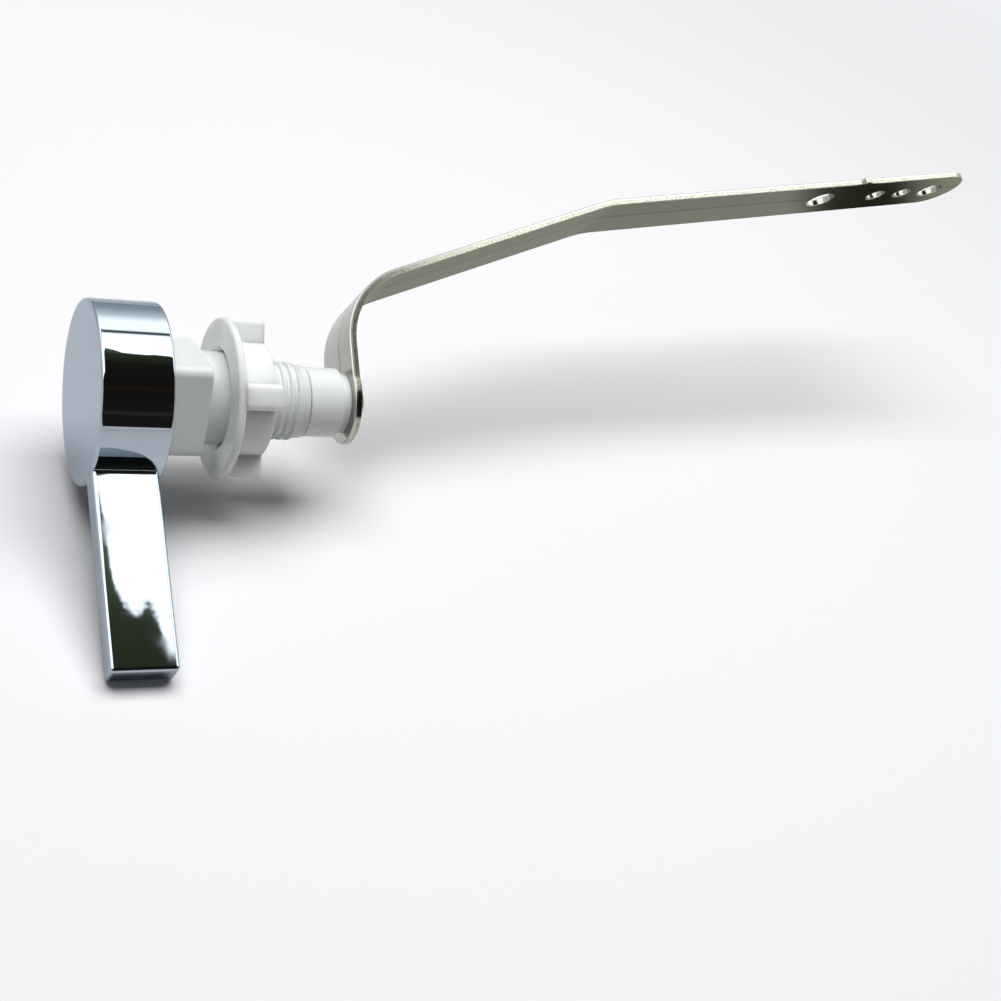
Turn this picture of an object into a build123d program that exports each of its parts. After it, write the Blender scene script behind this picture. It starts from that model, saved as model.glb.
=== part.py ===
from build123d import *
import os
from math import cos, radians, sin

# Cistern lever, in millimetres: a drum handle outside the cistern turns a strip arm inside it.
# The frame is that of the lever in its wall: the origin is on the spindle's axis where the bush's
# flange seats on the wall, +X runs into the cistern, +Z is up and the handle is on the -Y side.
# The bush's square shank stands upright. The handle is shown at its lower stop.

# Pose of the lever in the bush, in degrees about the axis
press_turn = 39.1  # handle below level
travel = 39.1  # from the lower stop up to a level handle
arm_rise = 10.1  # arm's first leg above the line through the handle
stop_gap = 0.5  # left between the stop lug and each end of its groove

# Handle: hollow drum with a flat bar
drum_diameter = 33.7
drum_depth = 12.7
drum_wall = 2.0
drum_face = 2.6
drum_edge = 0.7
rim_edge = 0.4
rim_gap = 0.4  # drum's rim to the wall
bar_width = 11.75  # along the axis
bar_thickness = 5.15
bar_reach = 53.5  # axis to the bar's end
bar_step = 0.1  # bar's side behind the drum's face
bar_edge = 0.7
boss_diameter = 14.0
socket_depth = 3.0
lug_inner_radius = 10.2
lug_width = 2.6
lug_span = 24.0  # degrees

# Bush: flange hidden in the drum, square shank, round shoulder and threaded sleeve
flange_thickness = 2.4
flange_clearance = 0.45  # inside the drum's wall
hub_diameter = 14.0
hub_length = 1.3
groove_depth = 1.4
lug_clearance = 0.35  # stop lug in its groove
square_side = 17.2
square_length = 8.1
square_corner = 1.6
shoulder_end = 13.0  # wall seat to the end of the round shoulder
thread_diameter = 14.7
lead_length = 1.0
pilot_diameter = 13.8
pilot_length = 2.35  # from the thread's end to the sleeve's end
sleeve_length = 27.75  # wall seat to the sleeve's end
pilot_edge = 0.3

# Spindle: journal in the bush, collar outside it, square tenon and flat-sided key
journal_diameter = 9.8
running_clearance = 0.06  # radial, of each fit that turns
end_float = 0.25  # at each end of the bush
collar_diameter = 13.2
collar_length = 6.6
collar_edge = 0.4
seat_diameter = 11.4  # step that the arm's eye bears on
seat_length = 1.6
tenon_side = 6.8
tenon_gap = 0.05  # tenon in its socket, each side
tenon_end_gap = 0.3
key_diameter = 8.0
key_flats = 6.0
key_short = 0.1  # key's end below the arm's face
key_gap = 0.05  # arm's eye round the key

# Nut: flange, body and lugs
nut_seat = 11.5  # wall seat to the nut's flange
nut_diameter = 29.8
nut_rim = 1.5
nut_body_diameter = 21.4
nut_length = 8.4
mouth_length = 2.0
mouth_chamfer = 0.9
lug_count = 4
nut_lug_width = 4.8
nut_lug_length = 7.1
nut_lug_turn = 66.7  # degrees from +Y towards +Z
nut_lug_edge = 0.8
nut_edge = 0.4

# Arm: stainless strip, its bends measured on the face that seats on the collar
arm_width = 14.6
arm_thickness = 1.4
eye_diameter = 15.6
first_corner = 21.4  # axis to the first bend's corner
second_leg = 66.5  # corner to corner
third_leg = 106.9  # second corner to the tip
second_leg_angle = 21.3  # degrees from the axis
third_leg_angle = 10.1
first_bend_radius = 16.7
second_bend_radius = 30.0
tip_hole_radius = 3.0
small_hole_radius = 2.3
large_hole_radius = 3.3
chain_holes = (  # distance from the tip, radius
    (8.7, tip_hole_radius),
    (17.7, small_hole_radius),
    (26.3, small_hole_radius),
    (43.5, large_hole_radius),
)
burr_from_tip = 34.7
burr_length = 2.0
burr_height = 0.9
burr_root = 0.3

# Arm's washer and long screw
washer_diameter = 11.0
washer_thickness = 0.6
washer_gap = 0.2
screw_diameter = 3.8
screw_bore_gap = 0.2
screw_hole_gap = 0.05
screw_hold = 4.0  # length of the screw in the handle's boss
screw_hole_spare = 0.3
head_diameter = 6.6
head_height = 1.7
head_edge = 1.1
recess_length = 3.6
recess_width = 0.8
recess_depth = 1.1

# Places along the axis
drum_rim_x = -rim_gap
drum_face_x = drum_rim_x - drum_depth
cavity_floor_x = drum_face_x + drum_face
bar_x = drum_face_x + bar_step
flange_x = -flange_thickness
hub_x = flange_x - hub_length
boss_x = hub_x - end_float
socket_x = boss_x - socket_depth
tenon_x = socket_x + tenon_end_gap
lug_end_x = flange_x + groove_depth - lug_clearance
thread_end = sleeve_length - pilot_length
collar_x = sleeve_length + end_float
seat_x = collar_x + collar_length
arm_x = seat_x + seat_length
washer_x = arm_x + arm_thickness
head_x = washer_x + washer_thickness
screw_end_x = socket_x - screw_hold
nut_rim_x = nut_seat + nut_rim
nut_end_x = nut_seat + nut_length
mouth_end_x = nut_seat + mouth_length

# Radii that follow from the fits
drum_radius = drum_diameter / 2
cavity_radius = drum_radius - drum_wall
flange_radius = cavity_radius - flange_clearance
lug_outer_radius = lug_inner_radius + lug_width
journal_radius = journal_diameter / 2
bore_radius = journal_radius + running_clearance
shoulder_radius = square_side / 2
thread_radius = thread_diameter / 2
pilot_radius = pilot_diameter / 2
mouth_radius = shoulder_radius + running_clearance
nut_bore_radius = thread_radius + running_clearance
arm_half_width = arm_width / 2
eye_radius = eye_diameter / 2
screw_radius = screw_diameter / 2
screw_bore_radius = screw_radius + screw_bore_gap

# Planes that turn with the lever: across the axis at the handle and at the arm, and along the arm
arm_turn = press_turn + arm_rise
handle_back = (0, cos(radians(press_turn)), sin(radians(press_turn)))
arm_along = (0, cos(radians(arm_turn)), sin(radians(arm_turn)))
arm_across = (0, -sin(radians(arm_turn)), cos(radians(arm_turn)))
handle_plane = Plane(origin=(0, 0, 0), x_dir=handle_back, z_dir=(1, 0, 0))
arm_cross_plane = Plane(origin=(0, 0, 0), x_dir=arm_along, z_dir=(1, 0, 0))
arm_plane = Plane(origin=(0, 0, 0), x_dir=(1, 0, 0), z_dir=arm_across)


def ring_sector(inner, outer, start, span):
    """Face between two radii about the sketch's origin, over the span of degrees from the start."""
    with BuildLine() as outline:
        far = CenterArc((0, 0), outer, start, span)
        near = CenterArc((0, 0), inner, start, span)
        Line(far @ 0, near @ 0)
        Line(far @ 1, near @ 1)
    make_face(outline.edges())


# Bush
with BuildPart() as bush:
    with BuildSketch(Plane.XZ):
        with BuildLine():
            Polyline(
                (hub_x, bore_radius),
                (hub_x, hub_diameter / 2),
                (flange_x, hub_diameter / 2),
                (flange_x, flange_radius),
                (0, flange_radius),
                (0, shoulder_radius),
                (shoulder_end, shoulder_radius),
                (shoulder_end, thread_radius),
                (thread_end, thread_radius),
                (thread_end + lead_length, pilot_radius),
                (sleeve_length, pilot_radius),
                (sleeve_length, bore_radius),
                close=True,
            )
        make_face()
    revolve(axis=Axis.X)
    sleeve_rim = bush.edges().filter_by(GeomType.CIRCLE).group_by(Axis.X)[-1].sort_by(SortBy.RADIUS)[-1]
    fillet(sleeve_rim, radius=pilot_edge)
    with BuildSketch(Plane.YZ):
        RectangleRounded(square_side, square_side, square_corner)
        Circle(bore_radius, mode=Mode.SUBTRACT)
    extrude(amount=square_length)
    # Groove that the handle's stop lug runs in, from a level handle to the lower stop
    with BuildSketch(Plane.YZ.offset(flange_x)):
        ring_sector(
            lug_inner_radius - lug_clearance,
            lug_outer_radius + lug_clearance,
            press_turn - travel - lug_span / 2 - stop_gap,
            travel + lug_span + 2 * stop_gap,
        )
    extrude(amount=groove_depth, mode=Mode.SUBTRACT)
bush.part.label = "bush"

# Bar, before it joins the drum
with BuildPart() as bar_blank:
    with BuildSketch(handle_plane.offset(bar_x)):
        with Locations((-bar_reach / 2, 0)):
            Rectangle(bar_reach, bar_thickness)
    extrude(amount=bar_width)
    fillet(bar_blank.edges(), radius=bar_edge)

# Handle: the drum's cavity is cut after the bar is joined, so that nothing of the bar is left inside
with BuildPart() as handle:
    with BuildSketch(Plane.YZ.offset(drum_face_x)):
        Circle(drum_radius)
    extrude(amount=drum_depth)
    drum_rings = handle.edges().filter_by(GeomType.CIRCLE).group_by(Axis.X)
    fillet(drum_rings[0], radius=drum_edge)
    fillet(handle.edges().filter_by(GeomType.CIRCLE).group_by(Axis.X)[-1], radius=rim_edge)
    add(bar_blank.part)
    with BuildSketch(Plane.YZ.offset(cavity_floor_x)):
        Circle(cavity_radius)
    extrude(amount=drum_rim_x - cavity_floor_x, mode=Mode.SUBTRACT)
    with BuildSketch(Plane.YZ.offset(cavity_floor_x)):
        Circle(boss_diameter / 2)
    extrude(amount=boss_x - cavity_floor_x)
    with BuildSketch(handle_plane.offset(cavity_floor_x)):
        ring_sector(lug_inner_radius, lug_outer_radius, -lug_span / 2, lug_span)
    extrude(amount=lug_end_x - cavity_floor_x)
    with BuildSketch(handle_plane.offset(boss_x)):
        Rectangle(tenon_side + 2 * tenon_gap, tenon_side + 2 * tenon_gap)
    extrude(amount=-socket_depth, mode=Mode.SUBTRACT)
    with BuildSketch(Plane.YZ.offset(socket_x)):
        Circle(screw_radius + screw_hole_gap)
    extrude(amount=-screw_hold - screw_hole_spare, mode=Mode.SUBTRACT)
handle.part.label = "handle"

# Spindle
with BuildPart() as spindle:
    with BuildSketch(Plane.YZ.offset(collar_x)):
        Circle(collar_diameter / 2)
    extrude(amount=collar_length)
    fillet(spindle.edges().filter_by(GeomType.CIRCLE), radius=collar_edge)
    with BuildSketch(Plane.YZ.offset(seat_x)):
        Circle(seat_diameter / 2)
    extrude(amount=seat_length)
    with BuildSketch(Plane.YZ.offset(boss_x)):
        Circle(journal_radius)
    extrude(amount=collar_x - boss_x)
    with BuildSketch(handle_plane.offset(tenon_x)):
        Rectangle(tenon_side, tenon_side)
    extrude(amount=boss_x - tenon_x)
    with BuildSketch(arm_cross_plane.offset(arm_x)):
        Circle(key_diameter / 2)
        Rectangle(key_diameter, key_flats, mode=Mode.INTERSECT)
    extrude(amount=arm_thickness - key_short)
    with BuildSketch(Plane.YZ.offset(tenon_x)):
        Circle(screw_bore_radius)
    extrude(amount=washer_x - tenon_x, mode=Mode.SUBTRACT)
spindle.part.label = "spindle"

# Nut
with BuildPart() as nut:
    with BuildSketch(Plane.XZ):
        with BuildLine():
            Polyline(
                (nut_seat, mouth_radius + mouth_chamfer),
                (nut_seat, nut_diameter / 2),
                (nut_rim_x, nut_diameter / 2),
                (nut_rim_x, nut_body_diameter / 2),
                (nut_end_x, nut_body_diameter / 2),
                (nut_end_x, nut_bore_radius),
                (mouth_end_x, nut_bore_radius),
                (mouth_end_x, mouth_radius),
                (nut_seat + mouth_chamfer, mouth_radius),
                close=True,
            )
        make_face()
    revolve(axis=Axis.X)
    nut_rings = nut.edges().filter_by(GeomType.CIRCLE)
    rim_rings = nut_rings.filter_by(lambda ring: ring.radius > nut_body_diameter / 2 + nut_edge)
    fillet(rim_rings, radius=nut_edge)
with BuildPart() as nut_lugs:
    with BuildSketch(Plane.YZ.offset(nut_rim_x - nut_rim / 2)):
        with PolarLocations(nut_diameter / 4, lug_count, start_angle=nut_lug_turn):
            Rectangle(nut_diameter / 2, nut_lug_width)
        Circle(nut_diameter / 2, mode=Mode.INTERSECT)
    extrude(amount=nut_lug_length + nut_rim / 2)
    with BuildSketch(Plane.YZ.offset(nut_rim_x - nut_rim / 2)):
        Circle(nut_body_diameter / 2 - nut_edge)
    extrude(amount=nut_lug_length + nut_rim / 2, mode=Mode.SUBTRACT)
    for lug in nut_lugs.solids():
        lug_faces = lug.faces().sort_by(Axis.X)
        fillet(lug_faces[-1].edges(), radius=nut_lug_edge)
with nut:
    add(nut_lugs.part)
nut.part.label = "nut"

# Arm
second_heading = radians(second_leg_angle)
third_heading = radians(third_leg_angle)
second_corner_x = arm_x + second_leg * cos(second_heading)
second_corner_y = first_corner + second_leg * sin(second_heading)
tip_x = second_corner_x + third_leg * cos(third_heading)
tip_y = second_corner_y + third_leg * sin(third_heading)
tip_along = arm_plane.x_dir * cos(third_heading) + arm_plane.y_dir * sin(third_heading)
tip_through = arm_plane.x_dir * sin(third_heading) - arm_plane.y_dir * cos(third_heading)
tip_plane = Plane(origin=arm_plane.from_local_coords((tip_x, tip_y, 0)), x_dir=tip_along, z_dir=tip_through)
with BuildPart() as arm:
    with BuildSketch(arm_plane):
        with BuildLine():
            FilletPolyline(
                (arm_x, 0),
                (arm_x, first_corner),
                (second_corner_x, second_corner_y),
                (tip_x, tip_y),
                radius=[first_bend_radius, second_bend_radius],
            )
            offset(amount=arm_thickness, side=Side.RIGHT)
        make_face()
    extrude(amount=arm_half_width, both=True)
    # Round eye, a little wider than the strip, and its keyed hole
    with BuildSketch(arm_cross_plane.offset(arm_x)):
        Circle(eye_radius)
    extrude(amount=arm_thickness)
    with BuildSketch(arm_cross_plane.offset(arm_x)):
        Circle(key_diameter / 2 + key_gap)
        Rectangle(key_diameter + 2 * key_gap, key_flats + 2 * key_gap, mode=Mode.INTERSECT)
    extrude(amount=arm_thickness, mode=Mode.SUBTRACT)
    # Round tip, chain holes and the burr that the press left on the edge
    with BuildSketch(tip_plane):
        with Locations((-arm_half_width / 2, 0)):
            Rectangle(arm_half_width, arm_width)
        with Locations((-arm_half_width, 0)):
            Circle(arm_half_width, mode=Mode.SUBTRACT)
        for from_tip, hole_radius in chain_holes:
            with Locations((-from_tip, 0)):
                Circle(hole_radius)
    extrude(amount=arm_thickness, mode=Mode.SUBTRACT)
    with BuildSketch(tip_plane):
        with Locations((-burr_from_tip, arm_half_width + (burr_height - burr_root) / 2)):
            Rectangle(burr_length, burr_height + burr_root)
    extrude(amount=arm_thickness)
arm.part.label = "arm"

# Washer under the screw's head
with BuildPart() as arm_washer:
    with BuildSketch(Plane.YZ.offset(washer_x)):
        Circle(washer_diameter / 2)
        Circle(screw_radius + washer_gap, mode=Mode.SUBTRACT)
    extrude(amount=washer_thickness)
arm_washer.part.label = "arm_washer"

# Long screw through the arm and the spindle into the handle's boss
with BuildPart() as arm_screw:
    with BuildSketch(Plane.YZ.offset(head_x)):
        Circle(head_diameter / 2)
    extrude(amount=head_height)
    fillet(arm_screw.edges().filter_by(GeomType.CIRCLE).group_by(Axis.X)[-1], radius=head_edge)
    with BuildSketch(Plane.YZ.offset(screw_end_x)):
        Circle(screw_radius)
    extrude(amount=head_x - screw_end_x)
    with BuildSketch(Plane.YZ.offset(head_x + head_height)):
        Rectangle(recess_length, recess_width)
        Rectangle(recess_width, recess_length)
    extrude(amount=-recess_depth, mode=Mode.SUBTRACT)
arm_screw.part.label = "arm_screw"

os.makedirs("parts", exist_ok=True)
for piece in (handle, spindle, bush, nut, arm, arm_washer, arm_screw):
    export_step(piece.part, f"parts/{piece.part.label}.step")

print("drum face", drum_face_x, "collar", collar_x, "arm", arm_x, "tip", tip_x, tip_y)
for from_tip, hole_radius in chain_holes:
    centre = tip_plane.from_local_coords((-from_tip, 0, arm_thickness / 2))
    print("chain hole", hole_radius, "at", tuple(centre), "axis", tuple(tip_plane.z_dir))
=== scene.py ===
# %% [markdown]
# # Cistern lever
# A flush lever goes through the front wall of a cistern. Outside is a chromed handle, in the wall are
# a white plastic bush and its nut, and inside is a bent steel strip that lifts the flush chain. The
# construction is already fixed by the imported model, which is loaded first. Each piece below is made
# exactly where that model has it, rides on one of its bodies, and adds what a render needs: smooth
# curved surfaces, a cut thread, rounded edges and finishes.

# %% Load the fixed frame
from math import cos, pi, radians, sin, tan

import bmesh
import bpy
import numpy as np
from mathutils import Euler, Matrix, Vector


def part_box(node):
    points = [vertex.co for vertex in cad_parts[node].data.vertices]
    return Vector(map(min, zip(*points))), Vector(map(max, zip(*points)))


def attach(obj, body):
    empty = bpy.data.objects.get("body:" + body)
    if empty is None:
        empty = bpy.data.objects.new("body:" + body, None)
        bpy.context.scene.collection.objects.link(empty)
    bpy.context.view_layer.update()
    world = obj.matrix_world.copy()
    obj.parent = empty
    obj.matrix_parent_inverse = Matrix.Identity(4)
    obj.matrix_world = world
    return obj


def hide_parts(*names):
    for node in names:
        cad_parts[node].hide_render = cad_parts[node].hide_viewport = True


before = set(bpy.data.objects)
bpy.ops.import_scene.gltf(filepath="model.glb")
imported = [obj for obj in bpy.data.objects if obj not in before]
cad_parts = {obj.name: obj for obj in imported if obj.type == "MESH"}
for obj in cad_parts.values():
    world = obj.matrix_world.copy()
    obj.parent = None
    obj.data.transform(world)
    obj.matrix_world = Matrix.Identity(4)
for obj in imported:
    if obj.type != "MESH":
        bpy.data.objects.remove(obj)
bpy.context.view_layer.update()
MM = 0.001

# %% [markdown]
# The camera stands where the photograph was taken. Its place and turn were found by fitting the
# lever's edges to the picture, and its focal length is counted in pixels of the 1001-pixel frame,
# so that the lens follows from the sensor's width alone.

# %% Camera
FRAME_PIXELS = 1001
FOCAL_PIXELS = 1600
CAMERA_PLACE = (-73.27, -268.15, 105.42)
CAMERA_TURN = (67.223, -11.636, -24.068)

lens = bpy.data.cameras.new("camera")
lens.sensor_width = 36
lens.lens = FOCAL_PIXELS / FRAME_PIXELS * lens.sensor_width
lens.clip_start = 10 * MM
camera = bpy.data.objects.new("camera", lens)
camera.location = np.array(CAMERA_PLACE) * MM
camera.rotation_euler = Euler(np.radians(CAMERA_TURN))
bpy.context.scene.collection.objects.link(camera)
bpy.context.scene.camera = camera
print("lens", round(lens.lens, 2), "mm")

# %% [markdown]
# Colours are written as a painter or a web page gives them, in sRGB hex. A renderer adds up light, so
# it needs them linear, and one function does that. One more function adds any shader node: it takes
# the node's kind, what its inputs are linked or set to, and its own settings.

# %% Colour and node helpers


def linear(hex_colour):
    """sRGB hex to linear RGBA: small values divide by 12.92, the others follow a 2.4 power curve."""
    channels = np.array([int(hex_colour[place:place + 2], 16) for place in (1, 3, 5)]) / 255
    curve = ((channels + 0.055) / 1.055) ** 2.4
    return (*np.where(channels <= 0.04045, channels / 12.92, curve), 1.0)


def put(tree, kind, inputs, **settings):
    """Add a node with its settings, then link or set each input that is named."""
    made = tree.nodes.new(kind)
    for name, value in settings.items():
        setattr(made, name, value)
    for name, value in inputs.items():
        if isinstance(value, bpy.types.NodeSocket):
            tree.links.new(value, made.inputs[name])
        else:
            made.inputs[name].default_value = value
    return made


def new_finish(name):
    """An empty node material and its tree."""
    finish = bpy.data.materials.new(name)
    finish.use_nodes = True
    finish.node_tree.nodes.clear()
    return finish, finish.node_tree


def surface(tree, shader):
    """Send a shader to the material's output."""
    put(tree, "ShaderNodeOutputMaterial", {"Surface": shader.outputs[0]})


# %% [markdown]
# The handle is a zinc casting, polished and plated with bright chromium. Plate is a mirror of a cool,
# slightly blue grey metal. What tells it from a perfect mirror is its shape: the polished casting
# swells by about a hundredth of a millimetre over a centimetre, which bends the edges of reflections,
# and handling leaves a faint haze. Both are noise on Object coordinates, with sizes in millimetres.

# %% Chrome plate


def chrome_plate():
    """Bright chromium on polished zinc: metal, roughness about 0.04, gently swelling."""
    finish, tree = new_finish("chrome_plate")
    place = put(tree, "ShaderNodeTexCoord", {}).outputs["Object"]
    swell = put(tree, "ShaderNodeTexNoise", {"Vector": place, "Scale": 1 / (8 * MM), "Detail": 1.0})
    haze = put(tree, "ShaderNodeTexNoise", {"Vector": place, "Scale": 1 / (5 * MM), "Detail": 5.0})
    roughness = put(tree, "ShaderNodeMapRange", {
        "Value": haze.outputs["Fac"], "From Min": 0.45, "From Max": 0.8, "To Min": 0.015, "To Max": 0.055})
    bump = put(tree, "ShaderNodeBump", {
        "Height": swell.outputs["Fac"], "Strength": 0.1, "Distance": 0.12 * MM})
    tint = put(tree, "ShaderNodeMix", {
        0: haze.outputs["Fac"], 6: linear("#a7afb7"), 7: linear("#a1aab4")}, data_type="RGBA")
    surface(tree, put(tree, "ShaderNodeBsdfPrincipled", {
        "Base Color": tint.outputs[2], "Metallic": 1.0, "Specular Tint": linear("#dfe5ea"),
        "Roughness": roughness.outputs["Result"], "Normal": bump.outputs["Normal"]}))
    return finish


chrome = chrome_plate()
print("finish", chrome.name)

# %% [markdown]
# The bush, the nut and the spindle are injection-moulded in a white acetal-like plastic. It is glossy
# from the polished mould, lets a little light in below the surface, and is cool white rather than
# pure white. Mould flow leaves slow changes in shade over some 10 mm, and the mould's finish leaves a
# fine unevenness about 0.4 mm wide that only shows in the highlights.

# %% Moulded white plastic


def moulded_white(name, light, shade, roughness, depth, share):
    """White moulding: two near whites mixed by slow noise, gloss broken by fine noise.

    Depth is how far light spreads below the surface, in mm, and share is how much of it goes there.
    """
    finish, tree = new_finish(name)
    place = put(tree, "ShaderNodeTexCoord", {}).outputs["Object"]
    flow = put(tree, "ShaderNodeTexNoise", {"Vector": place, "Scale": 1 / (10 * MM), "Detail": 3.0})
    grain = put(tree, "ShaderNodeTexNoise", {"Vector": place, "Scale": 1 / (0.4 * MM), "Detail": 2.0})
    tint = put(tree, "ShaderNodeMix", {
        0: flow.outputs["Fac"], 6: linear(light), 7: linear(shade)}, data_type="RGBA")
    gloss = put(tree, "ShaderNodeMapRange", {
        "Value": grain.outputs["Fac"], "To Min": roughness - 0.05, "To Max": roughness + 0.05})
    bump = put(tree, "ShaderNodeBump", {
        "Height": grain.outputs["Fac"], "Strength": 0.12, "Distance": 0.02 * MM})
    surface(tree, put(tree, "ShaderNodeBsdfPrincipled", {
        "Base Color": tint.outputs[2], "Roughness": gloss.outputs["Result"], "IOR": 1.48,
        "Subsurface Weight": share, "Subsurface Radius": (1.0, 1.0, 0.92), "Subsurface Scale": depth * MM,
        "Normal": bump.outputs["Normal"]}))
    return finish


# Bush whites a little darker than the nut's: painted shade where it sits between drum and nut.
shaded_bush_white = moulded_white("bush_moulding", "#e4e7e7", "#dbdede", roughness=0.22, depth=1.2, share=0.3)
nut_white = moulded_white("nut_moulding", "#eff1f2", "#e9eced", roughness=0.24, depth=3.0, share=0.7)
spindle_white = moulded_white("spindle_moulding", "#edf0f0", "#e6e9e9", roughness=0.16, depth=1.2, share=0.3)
print("finishes", shaded_bush_white.name, nut_white.name, spindle_white.name)

# %% [markdown]
# The arm is cold-rolled stainless strip. Rolling leaves fine lines along its length, so its reflections
# are drawn out, and it looks a warm grey. A dark line near the middle of its width, with the half
# beyond it darker, is a painted reflection of a shadow's edge. Its edges were sheared in a press: a
# third of the thickness is burnished by the punch, and the rest has torn and is pitted. The strip
# carries a UV map in metres, along and across, so the lines follow the bends, and an attribute
# through, 0 on one face and 1 on the other, with another that tells the sheared edges from the faces.

# %% Rolled stainless steel


def rolled_stainless(name, light, shade, edge):
    """Rolled strip: streaks 0.3 mm wide and 25 mm long on the faces, torn grey sheared edges."""
    finish, tree = new_finish(name)
    along = put(tree, "ShaderNodeUVMap", {}, uv_map="along").outputs["UV"]
    stretched = put(tree, "ShaderNodeMapping", {
        "Vector": along, "Scale": (1 / (25 * MM), 1 / (0.3 * MM), 1.0)})
    streaks = put(tree, "ShaderNodeTexNoise", {"Vector": stretched.outputs[0], "Scale": 1.0, "Detail": 4.0})
    across = put(tree, "ShaderNodeSeparateXYZ", {"Vector": along}).outputs["Y"]
    # Painted reflection of a shadow's edge: a dark line along the middle of the width, and the half beyond
    # it darker.
    on_painted_line = put(tree, "ShaderNodeMath", {0: across, 1: 1.0 * MM, 2: 0.3 * MM}, operation="COMPARE")
    upper = put(tree, "ShaderNodeMapRange", {"Value": across, "From Min": 0.6 * MM, "From Max": 1.4 * MM})
    place = put(tree, "ShaderNodeTexCoord", {}).outputs["Object"]
    tear = put(tree, "ShaderNodeTexNoise", {"Vector": place, "Scale": 1 / (0.2 * MM), "Detail": 2.0})
    smudge = put(tree, "ShaderNodeTexNoise", {"Vector": place, "Scale": 1 / (14 * MM), "Detail": 3.0})
    sheared = put(tree, "ShaderNodeAttribute", {}, attribute_name="sheared").outputs["Fac"]
    through = put(tree, "ShaderNodeAttribute", {}, attribute_name="through").outputs["Fac"]
    past_punch = put(tree, "ShaderNodeMapRange", {"Value": through, "From Min": 0.3, "From Max": 0.38})
    torn = put(tree, "ShaderNodeMath", {0: sheared, 1: past_punch.outputs["Result"]}, operation="MULTIPLY")
    rolled = put(tree, "ShaderNodeMix", {
        0: streaks.outputs["Fac"], 6: linear(light), 7: linear(shade)}, data_type="RGBA")
    painted_halves = put(tree, "ShaderNodeMix", {
        0: upper.outputs["Result"], 6: rolled.outputs[2], 7: linear(shade)}, data_type="RGBA")
    painted_line_tint = put(tree, "ShaderNodeMix", {
        0: on_painted_line.outputs[0], 6: painted_halves.outputs[2], 7: linear("#7f7e70")}, data_type="RGBA")
    pits = put(tree, "ShaderNodeMapRange", {
        "Value": tear.outputs["Fac"], "From Min": 0.42, "From Max": 0.58})
    grit = put(tree, "ShaderNodeMix", {
        0: pits.outputs["Result"], 6: linear("#807f74"), 7: linear("#b9b8ab")}, data_type="RGBA")
    smooth_edge = put(tree, "ShaderNodeMix", {
        0: sheared, 6: painted_line_tint.outputs[2], 7: linear(edge)}, data_type="RGBA")
    tint = put(tree, "ShaderNodeMix", {
        0: torn.outputs[0], 6: smooth_edge.outputs[2], 7: grit.outputs[2]}, data_type="RGBA")
    face_roughness = put(tree, "ShaderNodeMapRange", {
        "Value": smudge.outputs["Fac"], "To Min": 0.14, "To Max": 0.28})
    roughness = put(tree, "ShaderNodeMix", {
        0: torn.outputs[0], 2: face_roughness.outputs["Result"], 3: 0.14})
    height = put(tree, "ShaderNodeMix", {
        0: torn.outputs[0], 2: streaks.outputs["Fac"], 3: tear.outputs["Fac"]})
    depth = put(tree, "ShaderNodeMapRange", {"Value": torn.outputs[0], "To Min": 0.1, "To Max": 0.05})
    bump = put(tree, "ShaderNodeBump", {
        "Height": height.outputs[0], "Strength": depth.outputs["Result"], "Distance": 0.08 * MM})
    surface(tree, put(tree, "ShaderNodeBsdfPrincipled", {
        "Base Color": tint.outputs[2], "Metallic": 1.0,
        "Roughness": roughness.outputs[0], "Normal": bump.outputs["Normal"]}))
    return finish


def bright_stainless():
    """Bright stainless fasteners: tool marks 0.35 mm wide change the gloss and the shade a little."""
    finish, tree = new_finish("fastener_stainless")
    place = put(tree, "ShaderNodeTexCoord", {}).outputs["Object"]
    marks = put(tree, "ShaderNodeTexNoise", {"Vector": place, "Scale": 1 / (0.35 * MM), "Detail": 2.0})
    gloss = put(tree, "ShaderNodeMapRange", {
        "Value": marks.outputs["Fac"], "To Min": 0.18, "To Max": 0.4})
    tint = put(tree, "ShaderNodeMix", {
        0: marks.outputs["Fac"], 6: linear("#b9b8b2"), 7: linear("#a5a49d")}, data_type="RGBA")
    surface(tree, put(tree, "ShaderNodeBsdfPrincipled", {
        "Base Color": tint.outputs[2], "Metallic": 1.0, "Roughness": gloss.outputs["Result"]}))
    return finish


arm_steel = rolled_stainless("rolled_strip", "#a9a9a3", "#9c9c95", "#b4b4ae")
fastener_steel = bright_stainless()
print("finishes", arm_steel.name, fastener_steel.name)

# %% [markdown]
# The pieces are surfaces on grids: rows of points, each row a closed loop, joined by quads. Turned
# pieces are rings about the spindle's axis, and moulded blocks are rounded rectangles carried along a
# line. A rounded corner is an arc, and a point is put just before and after each arc so that the
# smooth shading of a flat ends there and doesn't spread over it.

# %% Surface helpers
ARC_STEPS = 8
QUARTER = np.linspace(0, pi / 2, ARC_STEPS + 1)
HOLD = 0.03  # mm from an arc to the point that holds the flat beside it
AROUND = np.linspace(0, 2 * pi, 288, endpoint=False)


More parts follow.
